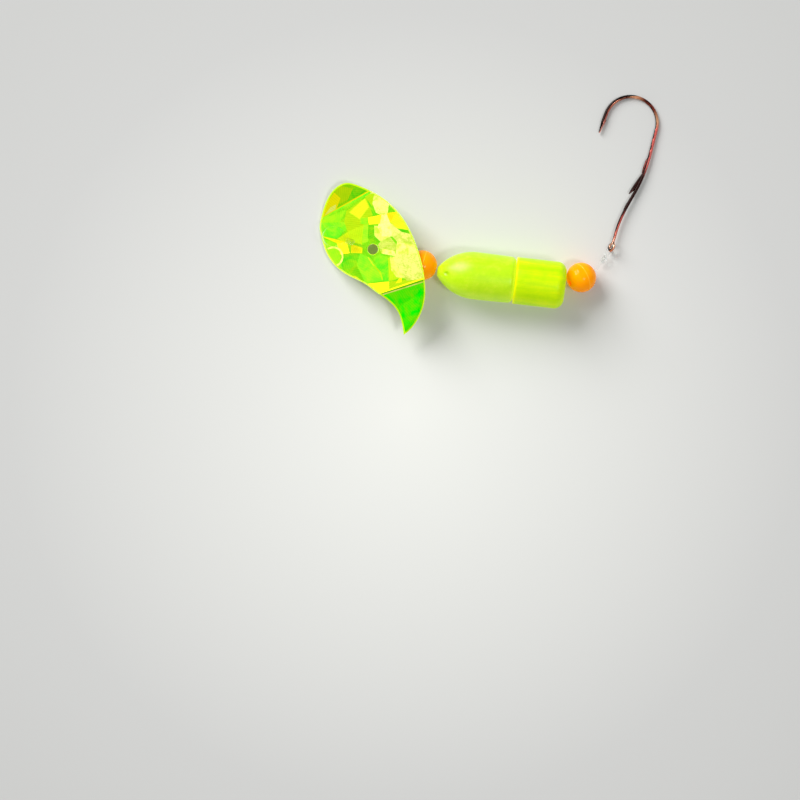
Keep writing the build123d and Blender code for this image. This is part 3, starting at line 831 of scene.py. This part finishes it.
def chartreuse(name, dark, mid, light, streak, gloss_level, end_x, end_highlight_tone):
    """Clear-ish yellow-green plastic with flow lines along X and a painted highlight round the end
    at end_x.
    """
    finish, nodes, links, shader = new_finish(name)
    place = nodes.new("ShaderNodeTexCoord")
    stretch = nodes.new("ShaderNodeMapping")
    stretch.inputs["Scale"].default_value = (60, 900, 900)
    flow = nodes.new("ShaderNodeTexNoise")
    flow.inputs["Scale"].default_value = 1.0
    flow.inputs["Detail"].default_value = 4
    flow.inputs["Roughness"].default_value = 0.6
    cloud = nodes.new("ShaderNodeTexNoise")
    cloud.inputs["Scale"].default_value = 420
    cloud.inputs["Detail"].default_value = 8
    cloud.inputs["Roughness"].default_value = 0.75
    weigh = nodes.new("ShaderNodeMix")
    weigh.data_type = "FLOAT"
    weigh.inputs[0].default_value = streak
    tones = tone_ramp(nodes, [(0.34, dark), (0.5, mid), (0.66, light)])
    along = nodes.new("ShaderNodeSeparateXYZ")
    from_end = math_step(nodes, "SUBTRACT", end_x)
    off_end = math_step(nodes, "ABSOLUTE")
    end_highlight_share = nodes.new("ShaderNodeMapRange")
    end_highlight_share.inputs["From Max"].default_value = 0.5 * MM
    end_highlight_share.inputs["To Min"].default_value = 0.9
    end_highlight_share.inputs["To Max"].default_value = 0.0
    with_end_highlight = tone_mix(nodes, end_highlight_tone)
    # The gate's dimple is darkened towards its middle, a painted shade in the recess.
    dimple_shade_in = nodes.new("ShaderNodeAttribute")
    dimple_shade_in.attribute_name = "dimple_painted_shade"
    dimple_shade_share = math_step(nodes, "MULTIPLY", 0.5)
    with_dimple_shade = tone_mix(nodes, (0.2, 0.36, 0.0, 1))
    gloss = nodes.new("ShaderNodeMapRange")
    gloss.inputs["To Min"].default_value = 0.26
    gloss.inputs["To Max"].default_value = 0.46
    lines = nodes.new("ShaderNodeBump")
    lines.inputs["Strength"].default_value = 0.18
    lines.inputs["Distance"].default_value = 0.00008
    links.new(place.outputs["Object"], stretch.inputs["Vector"])
    links.new(stretch.outputs["Vector"], flow.inputs["Vector"])
    links.new(place.outputs["Object"], cloud.inputs["Vector"])
    links.new(cloud.outputs["Fac"], weigh.inputs[2])
    links.new(flow.outputs["Fac"], weigh.inputs[3])
    links.new(weigh.outputs[0], tones.inputs["Fac"])
    links.new(place.outputs["Object"], along.inputs["Vector"])
    links.new(along.outputs["X"], from_end.inputs[0])
    links.new(from_end.outputs["Value"], off_end.inputs[0])
    links.new(off_end.outputs["Value"], end_highlight_share.inputs["Value"])
    links.new(end_highlight_share.outputs["Result"], with_end_highlight.inputs[0])
    links.new(tones.outputs["Color"], with_end_highlight.inputs[6])
    links.new(dimple_shade_in.outputs["Fac"], dimple_shade_share.inputs[0])
    links.new(dimple_shade_share.outputs["Value"], with_dimple_shade.inputs[0])
    links.new(with_end_highlight.outputs[2], with_dimple_shade.inputs[6])
    links.new(with_dimple_shade.outputs[2], shader.inputs["Base Color"])
    links.new(with_dimple_shade.outputs[2], shader.inputs["Emission Color"])
    links.new(flow.outputs["Fac"], gloss.inputs["Value"])
    links.new(gloss.outputs["Result"], shader.inputs["Roughness"])
    links.new(flow.outputs["Fac"], lines.inputs["Height"])
    links.new(lines.outputs["Normal"], shader.inputs["Normal"])
    shader.inputs["Subsurface Weight"].default_value = 0.3
    shader.inputs["Subsurface Radius"].default_value = (1.0, 1.0, 0.2)
    shader.inputs["Subsurface Scale"].default_value = 0.0012
    shader.inputs["Specular IOR Level"].default_value = gloss_level
    # A painted glow in the body's own colour lifts its shaded underside.
    shader.inputs["Emission Strength"].default_value = 0.62
    return finish


nose_finish = chartreuse(
    "chartreuse_nose",
    (0.30, 0.51, 0.0, 1),
    (0.34, 0.55, 0.0, 1),
    (0.42, 0.58, 0.015, 1),
    0.25,
    0.4,
    nose_tip.x + NOSE_LENGTH * MM,
    (0.42, 0.58, 0.03, 1),
)
rear_finish = chartreuse(
    "chartreuse_rear",
    (0.29, 0.50, 0.0, 1),
    (0.37, 0.55, 0.0, 1),
    (0.50, 0.58, 0.0, 1),
    0.6,
    0.12,
    rear_start.x,
    (0.62, 0.60, 0.0, 1),
)
wears(nose, nose_finish)
wears(rear, rear_finish)
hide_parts("float_nose")
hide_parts("float_rear")
for piece, body in ((nose, "float_nose"), (rear, "float_rear")):
    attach(piece, body)

# ------------------------------------------------------------------------- the hook
# One bent wire of bronzed carbon steel with a round eye, bait slices lifted from the shank, and a
# stout point with a small barb. Its copper-red bronze colour is painted nearly black as shade on
# one flank and over the slices, and carries bands of painted highlight along the wire.
HOOK_HEADING = 75.5
HOOK_SINK = 1.39
WIRE_R = 0.33
BEND_R = 5.32
BEND_CENTRE = Vector((25.5, 5.36, 0))
EYE_MID_R = 0.88
EYE_WIRE_R = 0.26
EYE_LEAN = 25
BEND_ANGLES = (-84.7, 3.4, 91.5)
BEND_STEP = 88.1
WIRE_LENGTH = 46.4
SHADED_FLANK_WAY = Vector((0.41, 0.91, 0))

heading, sink = math.radians(HOOK_HEADING), math.radians(HOOK_SINK)
hook_way = Vector(
    (math.cos(heading) * math.cos(sink), math.sin(heading) * math.cos(sink), -math.sin(sink))
)
hook_side = Vector((-math.sin(heading), math.cos(heading), 0))
hook_place = Matrix((hook_way, hook_side, hook_way.cross(hook_side))).transposed().to_4x4()
hook_place = Matrix.Translation(swing_point) @ hook_place


def on_bend(angle):
    """A place on the hook's bend and the way of the wire there, from its centre's angle."""
    turn = math.radians(angle)
    outward = Vector((math.cos(turn), math.sin(turn), 0))
    return BEND_CENTRE + outward * BEND_R, Vector((-outward.y, outward.x, 0))


let_go()
bpy.ops.curve.primitive_bezier_curve_add()
wire = bpy.context.object
wire.name = "bronzed_hook"
wire.data.dimensions = "3D"
wire.data.resolution_u = 28
wire.data.bevel_depth = WIRE_R * MM
wire.data.bevel_resolution = 6
wire.data.use_fill_caps = True
run = wire.data.splines[0].bezier_points
run.add(6)
shank = [((1.55, 0.04, 0), 0.84), ((6.0, 0.33, 0), 0.9), ((16.9, -0.74, 0), 1)]
for knot, (at, thickness) in zip(run, shank):
    knot.co = Vector(at) * MM
    knot.handle_left_type = knot.handle_right_type = "AUTO"
    knot.radius = thickness
handle = 4 / 3 * math.tan(math.radians(BEND_STEP / 4)) * BEND_R
for knot, angle in zip(run[3:6], BEND_ANGLES):
    at, way = on_bend(angle)
    knot.handle_left_type = knot.handle_right_type = "FREE"
    knot.co = at * MM
    knot.handle_left = (at - way * handle) * MM
    knot.handle_right = (at + way * handle) * MM
    knot.radius = 1.2 if angle > 90 else 1
bend_end, point_way = on_bend(BEND_ANGLES[-1])
run[5].handle_right = (bend_end + point_way * 0.5) * MM
for knot, reach, thickness in ((run[6], 1.7, 1.25), (run[7], 4.0, 0.42)):
    knot.handle_left_type = knot.handle_right_type = "FREE"
    knot.co = (bend_end + point_way * reach) * MM
    knot.handle_left = knot.co - point_way * 0.5 * MM
    knot.handle_right = knot.co + point_way * 0.5 * MM
    knot.radius = thickness
bpy.ops.object.convert(target="MESH")
wire = bpy.context.object

let_go()
bpy.ops.mesh.primitive_torus_add(
    major_segments=56,
    minor_segments=20,
    major_radius=EYE_MID_R * MM,
    minor_radius=EYE_WIRE_R * MM,
    location=(EYE_MID_R * MM, 0, 0),
    rotation=(math.radians(-90 + EYE_LEAN), 0, 0),
)
eye = bpy.context.object
bpy.ops.object.transform_apply(location=True, rotation=True, scale=True)
bpy.ops.object.mode_set(mode="EDIT")
shape = bmesh.from_edit_mesh(eye.data)
for vert in shape.verts:
    vert.select = vert.co.x > 1.35 * MM
bmesh.update_edit_mesh(eye.data)
bpy.ops.transform.resize(value=(1.0, 0.72, 0.8), center_override=(1.5 * MM, 0, 0))
bpy.ops.object.mode_set(mode="OBJECT")


def lifted_sliver(stations):
    """A sliver of wire drawn out from its root: along, lift, half-width and half-height."""
    let_go()
    along, lift, wide, high = stations[0]
    bpy.ops.mesh.primitive_circle_add(
        vertices=RING_SIDES,
        radius=MM,
        fill_type="NGON",
        location=(along * MM, lift * MM, 0),
        rotation=(0, math.radians(90), 0),
    )
    sliver = bpy.context.object
    bpy.ops.object.transform_apply(location=True, rotation=True, scale=True)
    bpy.ops.object.mode_set(mode="EDIT")
    bpy.ops.mesh.select_all(action="SELECT")
    bpy.ops.transform.resize(value=(1, high, wide), center_override=(along * MM, lift * MM, 0))
    for to_along, to_lift, to_wide, to_high in stations[1:]:
        step = Vector((to_along - along, to_lift - lift, 0)) * MM
        bpy.ops.mesh.extrude_region_move(TRANSFORM_OT_translate={"value": step})
        bpy.ops.transform.resize(
            value=(1, to_high / high, to_wide / wide),
            center_override=(to_along * MM, to_lift * MM, 0),
        )
        along, lift, wide, high = to_along, to_lift, to_wide, to_high
    bpy.ops.mesh.select_all(action="SELECT")
    bpy.ops.mesh.normals_make_consistent(inside=False)
    bpy.ops.object.mode_set(mode="OBJECT")
    return sliver


# Three slices lifted from the shank, then the barb inside the point.
slices = [
    [
        (20.6, -0.42, 0.12, 0.06),
        (19.4, -0.27, 0.2, 0.16),
        (18.0, -0.28, 0.2, 0.14),
        (16.9, -0.34, 0.12, 0.06),
    ],
    [
        (17.4, -0.62, 0.14, 0.08),
        (15.6, -0.32, 0.2, 0.28),
        (14.0, 0.0, 0.22, 0.36),
        (12.9, 0.24, 0.18, 0.33),
        (12.0, 0.56, 0.1, 0.09),
    ],
    [
        (13.4, -0.5, 0.14, 0.08),
        (11.4, -0.06, 0.2, 0.18),
        (9.6, 0.32, 0.18, 0.14),
        (8.7, 0.46, 0.08, 0.05),
    ],
    [
        (22.2, 10.6, 0.1, 0.08),
        (23.2, 10.36, 0.13, 0.14),
        (23.9, 10.24, 0.1, 0.1),
        (24.3, 10.14, 0.04, 0.03),
    ],
]
slivers = [lifted_sliver(stations) for stations in slices]
let_go()
for part in (eye, *slivers, wire):
    part.select_set(True)
bpy.context.view_layer.objects.active = wire
bpy.ops.object.join()
wire = bpy.context.object
while wire.data.uv_layers:
    wire.data.uv_layers.remove(wire.data.uv_layers[0])

# How far along the wire each place is, in mm from the eye to the point, and how much it faces the
# flank that is given painted shade.
along_wire = wire.data.attributes.new("along_wire", "FLOAT", "POINT")
painted_shade_side = wire.data.attributes.new("painted_shade_side", "FLOAT", "POINT")
for vert in wire.data.vertices:
    at = vert.co / MM
    round_bend = math.atan2(at.y - BEND_CENTRE.y, at.x - BEND_CENTRE.x) + math.pi / 2
    if at.x >= BEND_CENTRE.x:
        far = BEND_CENTRE.x + BEND_R * round_bend
    elif at.y < BEND_CENTRE.y:
        far = at.x
    else:
        far = BEND_CENTRE.x + math.pi * BEND_R + BEND_CENTRE.x - at.x
    along_wire.data[vert.index].value = far
    painted_shade_side.data[vert.index].value = vert.normal.dot(SHADED_FLANK_WAY)
wire.matrix_world = hook_place
bpy.ops.object.transform_apply(location=True, rotation=True, scale=True)
bpy.ops.object.shade_smooth_by_angle(angle=math.radians(50))

bronze, nodes, links, shader = new_finish("bronzed_steel")
along_in = nodes.new("ShaderNodeAttribute")
along_in.attribute_name = "along_wire"
shade_side_in = nodes.new("ShaderNodeAttribute")
shade_side_in.attribute_name = "painted_shade_side"
place = nodes.new("ShaderNodeTexCoord")
share = nodes.new("ShaderNodeMapRange")
share.inputs["From Max"].default_value = WIRE_LENGTH
# Along the wire the colour steps through copper red, bright bands of painted highlight and
# near-black bands of painted shade.
bronze_and_painted_bands = tone_ramp(
    nodes,
    [
        (0.0, (0.75, 0.26, 0.14, 1)),
        (0.03, (1.0, 0.60, 0.42, 1)),
        (0.07, (0.85, 0.22, 0.16, 1)),
        (0.15, (0.62, 0.09, 0.07, 1)),
        (0.19, (0.03, 0.004, 0.003, 1)),
        (0.35, (0.04, 0.006, 0.005, 1)),
        (0.40, (0.88, 0.20, 0.17, 1)),
        (0.56, (0.90, 0.17, 0.14, 1)),
        (0.60, (1.0, 0.52, 0.28, 1)),
        (0.65, (0.30, 0.05, 0.03, 1)),
        (0.71, (0.16, 0.03, 0.02, 1)),
        (0.75, (1.0, 0.45, 0.24, 1)),
        (0.79, (0.12, 0.02, 0.012, 1)),
        (0.85, (0.85, 0.30, 0.18, 1)),
        (0.91, (0.55, 0.12, 0.09, 1)),
        (1.0, (0.95, 0.40, 0.32, 1)),
    ],
)
# How far the painted shade on the one flank reaches round the wire, place by place along it.
painted_shade_reach = tone_ramp(
    nodes,
    [
        (0.0, (0.0, 0.0, 0.0, 1)),
        (0.06, (0.0, 0.0, 0.0, 1)),
        (0.10, (0.25, 0.25, 0.25, 1)),
        (0.22, (0.5, 0.5, 0.5, 1)),
        (0.36, (0.5, 0.5, 0.5, 1)),
        (0.42, (0.15, 0.15, 0.15, 1)),
        (0.60, (0.12, 0.12, 0.12, 1)),
        (0.68, (0.42, 0.42, 0.42, 1)),
        (0.75, (0.15, 0.15, 0.15, 1)),
        (0.80, (0.6, 0.6, 0.6, 1)),
        (0.90, (0.62, 0.62, 0.62, 1)),
        (1.0, (0.62, 0.62, 0.62, 1)),
    ],
)
wear_and_shade_noise = nodes.new("ShaderNodeTexNoise")
wear_and_shade_noise.inputs["Scale"].default_value = 900
wear_and_shade_noise.inputs["Detail"].default_value = 5
flank_shade = math_step(nodes, "MULTIPLY_ADD", 0.9)
flank_shade_along = math_step(nodes, "ADD")
painted_shade_edge = tone_ramp(nodes, [(0.80, (0, 0, 0, 1)), (0.97, (1, 1, 1, 1))])
with_painted_shade = tone_mix(nodes, (0.008, 0.002, 0.001, 1))
gloss = nodes.new("ShaderNodeMapRange")
gloss.inputs["To Min"].default_value = 0.14
gloss.inputs["To Max"].default_value = 0.38
drawn = nodes.new("ShaderNodeBump")
drawn.inputs["Strength"].default_value = 0.25
drawn.inputs["Distance"].default_value = 0.00004
links.new(along_in.outputs["Fac"], share.inputs["Value"])
links.new(share.outputs["Result"], bronze_and_painted_bands.inputs["Fac"])
links.new(place.outputs["Object"], wear_and_shade_noise.inputs["Vector"])
links.new(shade_side_in.outputs["Fac"], flank_shade.inputs[0])
links.new(wear_and_shade_noise.outputs["Fac"], flank_shade.inputs[2])
links.new(share.outputs["Result"], painted_shade_reach.inputs["Fac"])
links.new(flank_shade.outputs["Value"], flank_shade_along.inputs[0])
links.new(painted_shade_reach.outputs["Color"], flank_shade_along.inputs[1])
links.new(flank_shade_along.outputs["Value"], painted_shade_edge.inputs["Fac"])
links.new(painted_shade_edge.outputs["Color"], with_painted_shade.inputs[0])
links.new(bronze_and_painted_bands.outputs["Color"], with_painted_shade.inputs[6])
links.new(with_painted_shade.outputs[2], shader.inputs["Base Color"])
links.new(wear_and_shade_noise.outputs["Fac"], gloss.inputs["Value"])
links.new(gloss.outputs["Result"], shader.inputs["Roughness"])
links.new(wear_and_shade_noise.outputs["Fac"], drawn.inputs["Height"])
links.new(drawn.outputs["Normal"], shader.inputs["Normal"])
shader.inputs["Metallic"].default_value = 0.7
shader.inputs["Specular IOR Level"].default_value = 0.25
wears(wire, bronze)
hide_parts("hook")
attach(wire, "hook")
